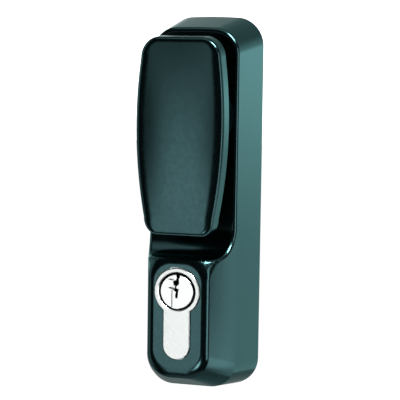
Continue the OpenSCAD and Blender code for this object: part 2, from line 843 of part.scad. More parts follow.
module cam() {
    color("darkgray") stand() on_cylinder() difference() {
        slab(cam_rear, cam_front) {
            circle(cam_hub_r);
            rotate(-key_turn / 2) {
                translate([0, -tip_r]) square([tip_at, cam_w]);
                translate([tip_at, 0]) circle(tip_r);
            }
        }
        rod(plug_stub_r + seat, 0, big);
    }
}

module plug_circlip() {
    color("gray") stand() on_cylinder()
        circlip(plug_stub_r - clip_bite + seat, plug_stub_r + 1.2, plug_groove + seat,
            cam_rear - play / 2 - seat);
}

housing();
shank_bush();
thrust_washer();
back_plate();
back_plate_screws();
fixing_inserts();
fork_guide_pins();
return_spring();
cylinder_case();
driver_pins();
pin_springs();
chamber_plugs();
cylinder_bracket();
cylinder_screw();
bracket_screw();
knob();
drive_disc();
shank_circlip();
spindle_follower();
drive_spindle();
spindle_pin();
clutch_ring();
shift_fork();
fork_pin();
lock_slide();
key_plug();
key_pins();
cam();
plug_circlip();
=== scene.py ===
# %% [markdown]
# # A knob lockset, outside half
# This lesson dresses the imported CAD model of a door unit: a cast housing with a paddle knob above a lock
# cylinder. The CAD solids carry the joints and the collision shapes. Here the four pieces that show are
# modelled again with soft edges, and every other solid gets a finish. Sizes are written in millimetres and
# turned into metres by MM, in the CAD model's own frame.

# %% Load the frame
import json
import math
import bmesh
import bpy
from mathutils import Matrix, Vector


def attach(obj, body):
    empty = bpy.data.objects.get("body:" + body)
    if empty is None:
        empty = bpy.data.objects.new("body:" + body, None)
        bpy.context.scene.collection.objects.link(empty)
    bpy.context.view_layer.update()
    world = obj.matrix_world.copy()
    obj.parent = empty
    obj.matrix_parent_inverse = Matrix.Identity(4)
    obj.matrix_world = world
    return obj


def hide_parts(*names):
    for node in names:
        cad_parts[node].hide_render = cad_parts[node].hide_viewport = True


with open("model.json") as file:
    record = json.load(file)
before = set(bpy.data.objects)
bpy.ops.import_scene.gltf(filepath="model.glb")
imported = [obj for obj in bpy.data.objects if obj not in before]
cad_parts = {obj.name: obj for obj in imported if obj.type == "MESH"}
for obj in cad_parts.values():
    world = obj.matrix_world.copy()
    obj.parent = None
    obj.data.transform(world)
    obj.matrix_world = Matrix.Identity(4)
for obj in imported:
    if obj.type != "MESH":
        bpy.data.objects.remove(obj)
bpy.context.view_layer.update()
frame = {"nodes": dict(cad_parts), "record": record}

MM = 0.001

# %% [markdown]
# ## Camera
# The camera comes first, because every later choice is judged through it. Its angle, roll and lens were
# fitted to the outline of the housing, so they are written as numbers: it looks from 18 degrees to the
# right and a little from above, through a long lens. The turn is built from three axes, which also allows
# the slight roll.

# %% Place the camera
AZIMUTH, ELEVATION, ROLL = math.radians(18.34), math.radians(5.53), math.radians(-0.83)
TARGET = Vector((1.6, -20.0, -30.8)) * MM
DISTANCE = 600 * MM
FOCAL_PIXELS, PICTURE_PIXELS, SENSOR_MM = 1640, 400, 36

forward = Vector((-math.sin(AZIMUTH) * math.cos(ELEVATION), math.cos(AZIMUTH) * math.cos(ELEVATION),
                  -math.sin(ELEVATION)))
level = Vector((math.cos(AZIMUTH), math.sin(AZIMUTH), 0))
down = forward.cross(level)
right = math.cos(ROLL) * level + math.sin(ROLL) * down
lower = -math.sin(ROLL) * level + math.cos(ROLL) * down

lens = bpy.data.cameras.new("camera")
lens.sensor_width = SENSOR_MM
lens.lens = FOCAL_PIXELS / PICTURE_PIXELS * SENSOR_MM
camera = bpy.data.objects.new("camera", lens)
bpy.context.scene.collection.objects.link(camera)
turn = Matrix((right, -lower, -forward)).transposed()
camera.matrix_world = Matrix.Translation(TARGET - DISTANCE * forward) @ turn.to_4x4()
bpy.context.scene.camera = camera
print("camera at", [round(v / MM) for v in camera.location], "mm, lens", round(lens.lens, 1), "mm")

# %% [markdown]
# ## Modelling helpers
# Blender's operators act on whatever is selected, so each helper starts by clearing the selection. In edit
# mode, faces, edges and vertices are picked by a test of their place, as a modeller would click on them.
# Places are measured in millimetres as across (x), out of the door (depth) and up (z), the way the casting
# is drawn.

# %% Select, edit and cut
# Places that are closer than this, in mm, count as one
TINY, NEAR = 0.001, 0.01


def take(piece):
    bpy.ops.object.select_all(action="DESELECT")
    piece.select_set(True)
    bpy.context.view_layer.objects.active = piece


def edit(piece):
    take(piece)
    bpy.ops.object.mode_set(mode="EDIT")


def leave():
    bpy.ops.object.mode_set(mode="OBJECT")


def middle(part):
    """Place of a vertex, or the mean place of an edge's or a face's corners."""
    verts = [part] if isinstance(part, bmesh.types.BMVert) else part.verts
    spot = sum((v.co for v in verts), Vector()) / len(verts) / MM
    return spot.x, -spot.y, spot.z


def choose(kind, test):
    """Select the vertices, edges or faces that pass a test."""
    bpy.ops.mesh.select_mode(type=kind)
    bpy.ops.mesh.select_all(action="DESELECT")
    shape = bmesh.from_edit_mesh(bpy.context.object.data)
    parts = {"VERT": shape.verts, "EDGE": shape.edges, "FACE": shape.faces}[kind]
    found = [part for part in parts if test(part)]
    for part in found:
        part.select_set(True)
    shape.select_flush_mode()
    bmesh.update_edit_mesh(bpy.context.object.data)
    return len(found)


def apply_place(piece, name):
    take(piece)
    bpy.ops.object.transform_apply(location=True, rotation=True, scale=True)
    piece.name = piece.data.name = name
    return piece


def cut(piece, tool, how="DIFFERENCE"):
    change = piece.modifiers.new(how.lower(), "BOOLEAN")
    change.operation = how
    change.solver = "EXACT"
    change.object = tool
    take(piece)
    bpy.ops.object.modifier_apply(modifier=change.name)
    bpy.data.objects.remove(tool)


def outward(piece):
    edit(piece)
    bpy.ops.mesh.select_all(action="SELECT")
    bpy.ops.mesh.remove_doubles(threshold=TINY * MM)
    bpy.ops.mesh.normals_make_consistent(inside=False)
    leave()


print("helpers ready")

# %% [markdown]
# Two starting shapes do most of the work. A rounded block is a plane with its corners bevelled, pulled out
# of the door in steps and resized at each step, which gives the casting its draft. A turned piece is a disc
# that is pulled and resized in the same way, like work on a lathe.


# %% Rounded blocks
def at_depth(depth, slack=NEAR):
    return lambda part: all(abs(-v.co.y / MM - depth) < slack for v in part.verts)


def extrude(depth):
    """Pull what is selected out of the door."""
    bpy.ops.mesh.extrude_region_move(TRANSFORM_OT_translate={"value": (0, -depth * MM, 0)})


def standing_plane(name, depth, half, top, low):
    bpy.ops.object.select_all(action="DESELECT")
    bpy.ops.mesh.primitive_plane_add(size=1, location=(0, -depth * MM, (top + low) / 2 * MM),
                                     rotation=(math.pi / 2, 0, 0))
    bpy.context.object.scale = (2 * half * MM, (top - low) * MM, 1)
    return apply_place(bpy.context.object, name)


def round_corners(radius, steps):
    """Bevel the picked corners of a flat outline."""
    bpy.ops.mesh.bevel(offset=radius * MM, segments=steps, affect="VERTICES", clamp_overlap=False)


def corner_arcs(section):
    """Centre and radius of the four corner arcs of an outline."""
    half, top, low, top_r, low_r = section[1:]
    levels = ((top - top_r, top_r), (low + low_r, low_r))
    return [(side * (half - radius), up, radius) for side in (-1, 1) for up, radius in levels]


def pull(before, after):
    """One step outwards: extrude the picked face, then size and shift each of its corners."""
    depth, split = after[0], (before[2] + before[3]) / 2
    extrude(depth - before[0])
    for (x0, z0, r0), (x1, z1, r1) in zip(corner_arcs(before), corner_arcs(after)):
        choose("VERT", lambda v: abs(v.co.y / MM + depth) < TINY and v.co.x * x0 > 0
               and (v.co.z / MM > split) == (z0 > split))
        bpy.ops.transform.resize(value=(r1 / r0, 1, r1 / r0), center_override=(x0 * MM, -depth * MM, z0 * MM))
        bpy.ops.transform.translate(value=((x1 - x0) * MM, 0, (z1 - z0) * MM))
    choose("FACE", at_depth(depth))


def rounded_block(name, sections, steps=14):
    """Sections are (depth, half width, top, bottom, upper and lower corner radius) in mm."""
    depth, half, top, low, top_r, low_r = sections[0]
    block = standing_plane(name, depth, half, top, low)
    edit(block)
    for edge, radius in ((top, top_r), (low, low_r)):
        choose("VERT", lambda v: abs(v.co.z / MM - edge) < NEAR)
        round_corners(radius, steps)
    bpy.ops.mesh.select_all(action="SELECT")
    for before, after in zip(sections, sections[1:]):
        pull(before, after)
    leave()
    outward(block)
    return block


print("rounded blocks ready")


# %% Turned pieces
def turned(name, stations, centre=(0, 0), steps=96):
    """Stations are (depth, radius) in mm; centre is (across, up)."""
    depth, radius = stations[0]
    x, z = centre
    bpy.ops.object.select_all(action="DESELECT")
    bpy.ops.mesh.primitive_circle_add(vertices=steps, radius=radius * MM, fill_type="NGON",
                                      location=(x * MM, -depth * MM, z * MM), rotation=(math.pi / 2, 0, 0))
    piece = apply_place(bpy.context.object, name)
    edit(piece)
    bpy.ops.mesh.select_all(action="SELECT")
    for (d0, r0), (d1, r1) in zip(stations, stations[1:]):
        extrude(d1 - d0)
        bpy.ops.transform.resize(value=(r1 / r0, 1, r1 / r0), center_override=(x * MM, -d1 * MM, z * MM))
    leave()
    outward(piece)
    return piece


def rod(name, ends, radius, centre=(0, 0), steps=96):
    """A straight turned piece between two depths."""
    return turned(name, [(depth, radius) for depth in ends], centre, steps)


print("turned pieces ready")

# %% [markdown]
# Outlines that no primitive has, such as a keyway, are laid out from their corners as one face, which is
# then extruded. Edges are rounded by one bevel over all the edges that pass a test.


# %% Boxes, drawn outlines and rounded edges
def box(name, low, high):
    """Corners are (across, depth, up) in mm."""
    spot = [(a + b) / 2 for a, b in zip(low, high)]
    size = [b - a for a, b in zip(low, high)]
    bpy.ops.object.select_all(action="DESELECT")
    bpy.ops.mesh.primitive_cube_add(size=1, location=(spot[0] * MM, -spot[1] * MM, spot[2] * MM))
    bpy.context.object.scale = [s * MM for s in size]
    return apply_place(bpy.context.object, name)


def drawn(name, corners, rear, front):
    """A prism from corners (across, up) in mm, from one depth to another."""
    mesh = bpy.data.meshes.new(name)
    mesh.from_pydata([(x * MM, -rear * MM, z * MM) for x, z in corners], [], [range(len(corners))])
    piece = bpy.data.objects.new(name, mesh)
    bpy.context.scene.collection.objects.link(piece)
    edit(piece)
    bpy.ops.mesh.select_all(action="SELECT")
    extrude(front - rear)
    leave()
    outward(piece)
    return piece


def lift(piece, rise):
    """Move each vertex up by rise(across, depth, up), in mm."""
    for v in piece.data.vertices:
        v.co.z += rise(v.co.x / MM, -v.co.y / MM, v.co.z / MM) * MM


def round_edges(piece, test, size, segments, clamp=True):
    edit(piece)
    count = choose("EDGE", test)
    bpy.ops.mesh.bevel(offset=size * MM, segments=segments, affect="EDGES", clamp_overlap=clamp)
    leave()
    return count


print("starting shapes ready")

# %% [markdown]
# ## Housing: the upper block
# The real housing is one zinc casting. Its upper block is a rounded rectangle that narrows towards the
# front, so that it leaves the mould. Its top is arched by less than a millimetre: the top edges are
# subdivided and their vertices lowered towards the corners. A small rounding runs around the recess floor.
# It catches the light as a thin line in the picture, so it is modelled and not left to the shading.

# %% Pull the block and round its rim
HOUSE_HALF, HOUSE_TOP, HOUSE_LOW, UPPER_CORNER, LOWER_CORNER = 19, 36.2, -102, 10, 10.5
FLOOR, RIM, WALL, ARCH, ARCH_CUTS = 23.5, 1.4, 2.4, 0.8, 9
SIDE_DRAFT, TOP_DRAFT, LOW_DRAFT, CORNER_DRAFT = 2.4, 4.3, 3, 1
ALIGNED, LONG_EDGE = 0.1, 8


def house_section(depth, inset=0):
    share = depth / FLOOR
    less = CORNER_DRAFT * share + inset
    return (depth, HOUSE_HALF - SIDE_DRAFT * share - inset, HOUSE_TOP - TOP_DRAFT * share - inset,
            HOUSE_LOW + LOW_DRAFT * share + inset, UPPER_CORNER - less, LOWER_CORNER - less)


def top_edge(edge):
    """The two long edges that run across the top, at the door and at the front."""
    x, depth, z = middle(edge)
    runs_across = abs(edge.verts[0].co.y - edge.verts[1].co.y) < ALIGNED * MM
    return abs(x) < ALIGNED and z > 0 and edge.calc_length() > LONG_EDGE * MM and runs_across


housing = rounded_block("housing_shell", [house_section(0), house_section(FLOOR)], steps=18)
edit(housing)
choose("EDGE", top_edge)
bpy.ops.mesh.subdivide(number_cuts=ARCH_CUTS)
leave()
lift(housing, lambda x, depth, z: -ARCH * (x / HOUSE_HALF) ** 2 if z > 0 else 0)
print("rim edges rounded:", round_edges(housing, at_depth(FLOOR), RIM, segments=5))

# %% [markdown]
# ## Housing: the pedestal and its scoop
# The lower half carries a pedestal for the lock cylinder. It starts inside the block, comes out flush with
# the block's sides and leans in to a smaller face. The scoop above it is cut with a box whose one long edge
# is bevelled to a big radius: a rounded box is the simplest tool that leaves a concave sweep and a flat
# shelf. The rounding of the face is taller at its foot than at its sides, so its vertices are lifted there.

# %% Pull the pedestal
FACE, FACE_HALF, FACE_TOP, FACE_LOW, FACE_CORNER, FACE_ROUND = 39.5, 10.9, -50.4, -93, 8.6, 2.1
ROOT, ROOT_TOP, FLUSH, SWELL, FOOT_LIFT = FLOOR - RIM, -28, 0.02, 0.5, 1.3
SUNK, SMALLER, PEDESTAL_STEPS = 5, 2, 8
root_half, root_low, root_corner = (house_section(ROOT)[i] for i in (1, 3, 5))


def pedestal_section(share):
    """From the root (0) to the face (1), with sides that bulge a little on the way."""
    def between(first, last):
        return first + (last - first) * share
    corner = between(root_corner, FACE_CORNER)
    return (between(ROOT, FACE), between(root_half + FLUSH, FACE_HALF) + 4 * SWELL * share * (1 - share),
            between(ROOT_TOP, FACE_TOP), between(root_low - FLUSH, FACE_LOW), corner, corner)


def foot(x, depth, z):
    """How far the rounding is lifted at the foot of the face."""
    out = (depth - FACE + FACE_ROUND) / FACE_ROUND
    if out <= 0 or z > (FACE_TOP + FACE_LOW) / 2:
        return 0
    return FOOT_LIFT * (1 - math.sqrt(max(0, 1 - out * out)))


inside_block = (ROOT - SUNK, root_half - SMALLER, ROOT_TOP - SMALLER, root_low + SMALLER,
                root_corner, root_corner)
pedestal = rounded_block("pedestal", [inside_block] + [
    pedestal_section(step / PEDESTAL_STEPS) for step in range(PEDESTAL_STEPS + 1)], steps=18)
print("face edges rounded:", round_edges(pedestal, at_depth(FACE), FACE_ROUND, segments=8))
lift(pedestal, foot)

# %% Cut the scoop and soften its edge
# The wall lies a hair behind the recess floor, so that no sliver of the pedestal is left on it
SCOOP_R, SCOOP_EDGE, SCOOP_WALL = 10.5, 1.3, FLOOR - 0.03
SCOOP_HALF, SCOOP_FRONT, SCOOP_TOP = 40, 90, 60
SCOOP_SLACK, SHARP = 0.03, 0.3
scoop = box("scoop", (-SCOOP_HALF, SCOOP_WALL, FACE_TOP), (SCOOP_HALF, SCOOP_FRONT, SCOOP_TOP))
round_edges(scoop, lambda e: middle(e)[1] < FLOOR and middle(e)[2] < FACE_TOP + 1, SCOOP_R, segments=24)
cut(pedestal, scoop)


def on_scoop(v):
    """Whether a vertex lies on the wall, the sweep or the shelf that the scoop left."""
    x, depth, z = middle(v)
    across, up = depth - FLOOR - SCOOP_R, z - FACE_TOP - SCOOP_R
    if up > 0:
        return abs(depth - SCOOP_WALL) < NEAR
    return abs((math.hypot(across, up) if across < 0 else -up) - SCOOP_R) < SCOOP_SLACK


def scoop_edge(edge):
    return len(edge.link_faces) == 2 and edge.calc_face_angle() > SHARP and all(map(on_scoop, edge.verts))


print("scoop edges softened:", round_edges(pedestal, scoop_edge, SCOOP_EDGE, segments=6, clamp=False))

# %% Join the pedestal to the block
# Just wide enough to close the step between the pedestal's sides and the block's
merge = 1.1 * FLUSH
cut(housing, pedestal, "UNION")
edit(housing)
bpy.ops.mesh.select_all(action="SELECT")
bpy.ops.mesh.remove_doubles(threshold=merge * MM)
leave()
print("housing faces so far:", len(housing.data.polygons))

# %% [markdown]
# ## Housing: the boss
# Behind the knob a trumpet-shaped boss rises from the floor and carries the bearing. A trumpet is turned:
# its radius follows a quarter circle, so it flows into the floor without an edge.

# %% Turn the boss and join it
BOSS_FRONT, BOSS_R, BOSS_FOOT, BOSS_EDGE = 29.5, 11, 15.8, 0.4
BUSH_R, BUSH_REAR, BUSH_FRONT = 9.02, FLOOR - 6, BOSS_FRONT + 2
flare = BOSS_FOOT - BOSS_R
curve = [math.radians(angle) for angle in range(5, 91, 5)]
boss = turned("boss", [(FLOOR - 1, BOSS_FOOT - flare * math.sin(curve[0]))]
              + [(FLOOR + flare - flare * math.cos(a), BOSS_FOOT - flare * math.sin(a)) for a in curve]
              + [(BOSS_FRONT - BOSS_EDGE, BOSS_R), (BOSS_FRONT - BOSS_EDGE / 4, BOSS_R - BOSS_EDGE / 4),
                 (BOSS_FRONT, BOSS_R - BOSS_EDGE)])
cut(housing, boss, "UNION")
cut(housing, rod("bush_hole", (BUSH_REAR, BUSH_FRONT), BUSH_R))
print("housing faces with boss:", len(housing.data.polygons))

# %% [markdown]
# ## Housing: the hollow back
# From behind the casting is a shell. Two more rounded blocks, one for the body and one for the pedestal,
# are subtracted. The cylinder's keyhole outline is cut through the face, and the pillars and posts that the
# mechanism screws to are added last, so that they stand inside the hollow.

# %% Hollow the shell
INNER = 20.5
# Sections of the pedestal's hollow, at its root and at its front end
HOLLOW_ROOT = (INNER - 0.5, root_half - WALL - 0.6, FACE_TOP + 1, root_low + WALL + 0.4, 7, 7)
HOLLOW_END = (FACE - 4, 9.9, FACE_TOP - 2.8, -93.6, 5, 5)
cut(housing, rounded_block("hollow", [house_section(-1, WALL), house_section(INNER, WALL)]))
cut(housing, rounded_block("pedestal_hollow", [HOLLOW_ROOT, HOLLOW_END]))
print("hollow shell faces:", len(housing.data.polygons))

# %% Cut the hole for the cylinder
CYL_Z, CYL_HEAD_R, CYL_TAIL_HALF, CYL_TAIL_Z, HOLE_GAP = -62, 8.5, 5, -81.5, 0.28
HEAD_STEPS, TAIL_STEPS = 72, 36


def arc(radius, up, start, stop, steps):
    return [(radius * math.cos(t), up + radius * math.sin(t))
            for t in (start + (stop - start) * i / steps for i in range(steps + 1))]


def round_end(half):
    """The lower end of the tail."""
    return arc(half, CYL_TAIL_Z, math.pi, 2 * math.pi, TAIL_STEPS)


def keyhole(extra=0.0):
    """The outline of a profile cylinder: most of a circle, with a round-ended tail."""
    radius, half = CYL_HEAD_R + extra, CYL_TAIL_HALF + extra
    neck = math.acos(half / radius)
    return arc(radius, CYL_Z, -neck, math.pi + neck, HEAD_STEPS) + round_end(half)


cut(housing, drawn("cylinder_hole", keyhole(HOLE_GAP), ROOT, FACE + 3))
print("shell faces with the hole:", len(housing.data.polygons))

# %% Add the pillars and posts
PILLARS, PILLAR_R, PILLAR_EDGE, INSERT_R, INSERT_HOLE = [(0, 25), (0, -33)], 5, 0.3, 3.82, (-1, 14.5)
POST_REAR, POST_FRONT, POST_R, SCREW_R, SCREW_HOLE = 2.5, INNER + 0.5, 2.6, 1.52, (1, 11)
SCREWS = [(side * 10.1, up) for side in (-1, 1) for up in (26.05, -42)]
BRACKET_POST, BRACKET_ENDS, BRACKET_R = (-11.3, -91.3), (6.5, ROOT + 3), 3
BRACKET_HOLE, BRACKET_HOLE_R = (4, 15), 2.02
RIB_LOW, RIB_HIGH = (-15.1, 8.5, -92.3), (-11.3, ROOT, -90.3)
GUIDES, GUIDE_TALL, GUIDE_REAR, GUIDE_LEFT, GUIDE_RIGHT = (-45, -31), 5, 12.5, 11.9, 15

pillar = [(0, PILLAR_R - PILLAR_EDGE), (PILLAR_EDGE, PILLAR_R), (POST_FRONT, PILLAR_R)]
for spot in PILLARS:
    cut(housing, turned("pillar", pillar, spot, 48), "UNION")
    cut(housing, rod("insert_hole", INSERT_HOLE, INSERT_R, spot, 48))
for spot in SCREWS:
    cut(housing, rod("post", (POST_REAR, POST_FRONT), POST_R, spot, 32), "UNION")
    cut(housing, rod("screw_hole", SCREW_HOLE, SCREW_R, spot, 24))
cut(housing, rod("bracket_post", BRACKET_ENDS, BRACKET_R, BRACKET_POST, 32), "UNION")
cut(housing, rod("bracket_hole", BRACKET_HOLE, BRACKET_HOLE_R, BRACKET_POST, 24))
cut(housing, box("bracket_rib", RIB_LOW, RIB_HIGH), "UNION")
for up in GUIDES:
    low_corner, high_corner = (GUIDE_LEFT, GUIDE_REAR, up), (GUIDE_RIGHT, POST_FRONT, up + GUIDE_TALL)
    cut(housing, box("slide_guide", low_corner, high_corner), "UNION")
print("finished shell faces:", len(housing.data.polygons))

# %% [markdown]
# ## Knob
# The knob is a paddle, narrower at the bottom than at the top, with barrel-shaped sides, a flat side band, a
# fine lip and a softly crowned face. It starts as a plane with bevelled corners. Its rows of vertices are
# pulled in to make the barrel, and the thickness, the lip and the rounding are then raised in steps, each a
# little smaller than the last. The rounding is tighter at the top and the bottom than at the sides, so every
# ring is pushed back a little there.

# %% Draw the outline of the paddle
KNOB_TOP, KNOB_LOW, KNOB_HALF, FLARE = 28.5, -41.8, 16.45, 0.4
TOP_R, LOW_R, SIDE_R, WIDEST, CORNER_STEPS = 7.5, 6, 180, -2, 12
KNOB_REAR, KNOB_FACE, REAR_EDGE = 34, 41, 0.8
LONG_SIDE, SIDE_CUTS, LONG_END, END_CUTS = 20, 23, 10, 7
knob_start, knob_middle = KNOB_REAR + REAR_EDGE, (KNOB_TOP + KNOB_LOW) / 2

knob = standing_plane("knob_paddle", knob_start, KNOB_HALF + FLARE, KNOB_TOP + FLARE, KNOB_LOW - FLARE)
edit(knob)
choose("VERT", lambda v: middle(v)[2] > 0)
round_corners(TOP_R + FLARE, CORNER_STEPS)
choose("VERT", lambda v: middle(v)[2] < KNOB_LOW and abs(middle(v)[0]) > KNOB_HALF)
round_corners(LOW_R + FLARE, CORNER_STEPS)
choose("EDGE", lambda e: abs(middle(e)[0]) > KNOB_HALF and e.calc_length() > LONG_SIDE * MM)
bpy.ops.mesh.subdivide(number_cuts=SIDE_CUTS)
choose("EDGE", lambda e: abs(middle(e)[0]) < 1 and e.calc_length() > LONG_END * MM)
bpy.ops.mesh.subdivide(number_cuts=END_CUTS)
choose("FACE", lambda f: True)
bpy.ops.mesh.dissolve_faces(use_verts=False)
leave()
print("outline corners:", len(knob.data.vertices))

# %% Pull the rows in to a barrel
ROW_GAP, ROW_SLACK = 0.02, 0.005


def barrel(z):
    """Width of the outline at a height, as a share of its widest place."""
    held = min(max(z, KNOB_LOW + LOW_R), KNOB_TOP - TOP_R)
    return (KNOB_HALF - (held - WIDEST) ** 2 / (2 * SIDE_R)) / KNOB_HALF


rows = []
for height in sorted(v.co.z / MM for v in knob.data.vertices):
    if not rows or height > rows[-1] + ROW_GAP:
        rows.append(height)
edit(knob)
for height in rows:
    choose("VERT", lambda v: -ROW_SLACK < v.co.z / MM - height < ROW_GAP)
    bpy.ops.transform.resize(value=(barrel(height), 1, 1), center_override=(0, 0, 0))
leave()
print("outline rows:", len(rows))

# %% Raise the rear edge, the side band and the lip
BAND, LIP, REAR_REACH = 4.0, 0.28, 35
knob_centre = (0, 0, knob_middle * MM)
edit(knob)
bpy.ops.mesh.select_all(action="SELECT")
extrude(-REAR_EDGE)
bpy.ops.transform.resize(value=(1 - REAR_EDGE / KNOB_HALF, 1, 1 - REAR_EDGE / REAR_REACH),
                         center_override=knob_centre)
bpy.ops.mesh.select_all(action="SELECT")
bpy.ops.mesh.normals_make_consistent(inside=False)
choose("FACE", at_depth(knob_start))
bpy.ops.mesh.inset(thickness=FLARE * MM, depth=BAND * MM)
bpy.ops.mesh.inset(thickness=LIP * MM, depth=0)
print("lip at depth", knob_start + BAND, "mm")

# %% Raise the rounded edge and divide the face
EDGE_IN, EDGE_UP, EDGE_STEPS, SAME_RING = 3.6, 1.3, 12, 0.0005
TIGHTER = ((1, 0.5), (-1, 0.68))
FACE_RINGS = [1, 0.95, 0.88, 0.8, 0.71, 0.61, 0.5, 0.38, 0.25, 0.1]


def rounding(angle):
    """Height of the rounded edge: steep at the lip, and running out softly into the face."""
    return EDGE_UP * math.sqrt(1 - math.cos(angle) ** 3)


def past_corner(z, side):
    """Whether a height is in the rounded top (1) or the rounded bottom (-1) of the outline."""
    return z > KNOB_TOP - TOP_R if side > 0 else z < KNOB_LOW + LOW_R


for step in range(EDGE_STEPS):
    first, last = (math.pi / 2 * (step + i) / EDGE_STEPS for i in (0, 1))
    inwards = EDGE_IN * (math.cos(first) - math.cos(last))
    bpy.ops.mesh.inset(thickness=inwards * MM, depth=(rounding(last) - rounding(first)) * MM)
    ring_depth = knob_start + BAND + rounding(last)
    for side, share in TIGHTER:
        choose("VERT", lambda v: abs(middle(v)[1] - ring_depth) < SAME_RING
               and past_corner(middle(v)[2], side))
        bpy.ops.transform.translate(value=(0, 0, side * share * inwards * MM))
    choose("FACE", at_depth(ring_depth, SAME_RING))
for big, small in zip(FACE_RINGS, FACE_RINGS[1:]):
    bpy.ops.mesh.inset(thickness=0, depth=0)
    bpy.ops.transform.resize(value=(small / big, 1, small / big), center_override=knob_centre)
leave()
outward(knob)
print("paddle faces:", len(knob.data.polygons))

# %% [markdown]
# The face isn't flat: it swells a little towards its middle, which is what draws the light out into a
# gradient. A lattice cage around the paddle gives an even swelling in both directions. Only its front layer
# of points moves.

# %% Swell the face with a lattice
CAGE, CAGE_POINTS, CROWN = (36, 20, 82), (7, 2, 7), 1.9
bpy.ops.object.select_all(action="DESELECT")
bpy.ops.object.add(type="LATTICE", location=(0, -KNOB_FACE * MM, knob_middle * MM))
cage = bpy.context.object
cage.scale = [side * MM for side in CAGE]
cage.data.points_u, cage.data.points_v, cage.data.points_w = CAGE_POINTS
for point in cage.data.points:
    u, v, w = (2 * c for c in point.co)
    if v < 0:
        point.co_deform.y -= CROWN / CAGE[1] * (1 - u * u) * (1 - w * w)
swell = knob.modifiers.new("swell", "LATTICE")
swell.object = cage
take(knob)
bpy.ops.object.modifier_apply(modifier=swell.name)
bpy.data.objects.remove(cage)
print("knob face at", round(-min(v.co.y for v in knob.data.vertices) / MM, 2), "mm")

# %% [markdown]
# Behind the paddle the neck flares into its back, and a stepped shank goes through the bearing. Both are
# one turned piece, because they share an axis, and it is joined to the paddle as the casting is.

# %% Turn the neck and the shank
NECK_R, NECK_FLARE, NECK_EDGE, NECK_GAP, NECK_SUNK = 10.8, 3, 0.3, 0.4, 0.5
SHANK_R, SEAT_R, TIP_R = 7.5, 5.2, 4.6
SEAT_FRONT, SEAT_REAR, TIP_REAR = 19.2, 12, 10.7
neck_rear = BOSS_FRONT + NECK_GAP
shank = [(TIP_REAR, TIP_R), (SEAT_REAR, TIP_R), (SEAT_REAR, SEAT_R), (SEAT_FRONT, SEAT_R),
         (SEAT_FRONT, SHANK_R), (neck_rear, SHANK_R)]
neck_foot = [(neck_rear, NECK_R - NECK_EDGE), (neck_rear + NECK_EDGE, NECK_R)]
neck_flare = [(KNOB_REAR - NECK_FLARE + NECK_FLARE * math.sin(a), NECK_R + NECK_FLARE * (1 - math.cos(a)))
              for a in (math.radians(angle) for angle in range(0, 90, 10))]
neck_end = [(KNOB_REAR + NECK_SUNK, NECK_R + NECK_FLARE)]
cut(knob, turned("neck", shank + neck_foot + neck_flare + neck_end), "UNION")
print("knob faces:", len(knob.data.polygons))

# %% [markdown]
# ## Lock cylinder
# The cylinder is a standard part: a round head over a narrow tail, nickel plated. Its outline is the same
# keyhole that was cut in the housing, a little smaller. The front edges get a small bevel, because a plated
# edge always shows as a bright line. The face of the tail stays bare.

# %% Model the cylinder case
CYL_FACE, CYL_STEP, CYL_REAR, CASE_EDGE = 40.2, 10.2, 0.2, 0.3
BRIDGE_TOP, BRIDGE_GAP = -78, 0.02
PLUG_R, LIP_R, LIP_DEEP, BORE_REAR = 6.55, 6.87, 2, 5
CHAMFER, CHAMFER_DEEP = 0.35, 0.3
case = drawn("cylinder_body", keyhole(), CYL_STEP, CYL_FACE)
print("case edges rounded:", round_edges(case, at_depth(CYL_FACE), CASE_EDGE, segments=3))
bridge_half = CYL_TAIL_HALF - BRIDGE_GAP
bridge = [(bridge_half, BRIDGE_TOP), (-bridge_half, BRIDGE_TOP)] + round_end(bridge_half)
cut(case, drawn("bridge", bridge, CYL_REAR, CYL_STEP + 1), "UNION")
lip_rear, chamfer_rear = CYL_FACE - LIP_DEEP, CYL_FACE - CHAMFER_DEEP
cut(case, turned("plug_bore", [
    (BORE_REAR, PLUG_R), (lip_rear, PLUG_R), (lip_rear, LIP_R), (chamfer_rear, LIP_R),
    (chamfer_rear + CHAMFER, LIP_R + CHAMFER), (CYL_FACE + 1, LIP_R + CHAMFER)], (0, CYL_Z)))
print("case faces:", len(case.data.polygons))

# %% [markdown]
# ## Key plug
# The plug turns in the case. Its face has a chamfer, which with the groove around it reads as a dark ring.
# Both also get a near-black finish further down, which is painted shade.
# The keyway is drawn as a crooked outline, extruded to a prism and cut deep into the plug. Below it a
# shallow milled band and a fine groove run to the edge, and two wards nick its left side.

# %% Turn the plug
PLUG_STATIONS = [(0.4, 5), (10.3, 5), (10.3, 6.5), (38.3, 6.5), (38.3, 6.8), (38.7, 6.8), (39.95, 6.1),
                 (40.1, 5.95)]
plug = turned("plug_core", PLUG_STATIONS, (0, CYL_Z))
print("plug faces before its cuts:", len(plug.data.polygons))

# %% Cut the keyway and its wards
KEYWAY = [(1.2, 8), (1.2, 5.2), (0.75, 4.6), (0.9, 2.8), (-0.1, 1.9), (-0.1, 1.3), (0.85, 0.9), (0.6, 0.2),
          (0.45, -1.2), (0.3, -2.4), (-0.5, -2.4), (-0.6, -1.2), (-0.3, -0.2), (-1.3, 0.6), (-1.2, 2.4),
          (-1.4, 3.9), (-0.3, 4.2), (0.0, 5), (-0.2, 5.6), (-0.2, 8)]
CUT_FRONT = 42
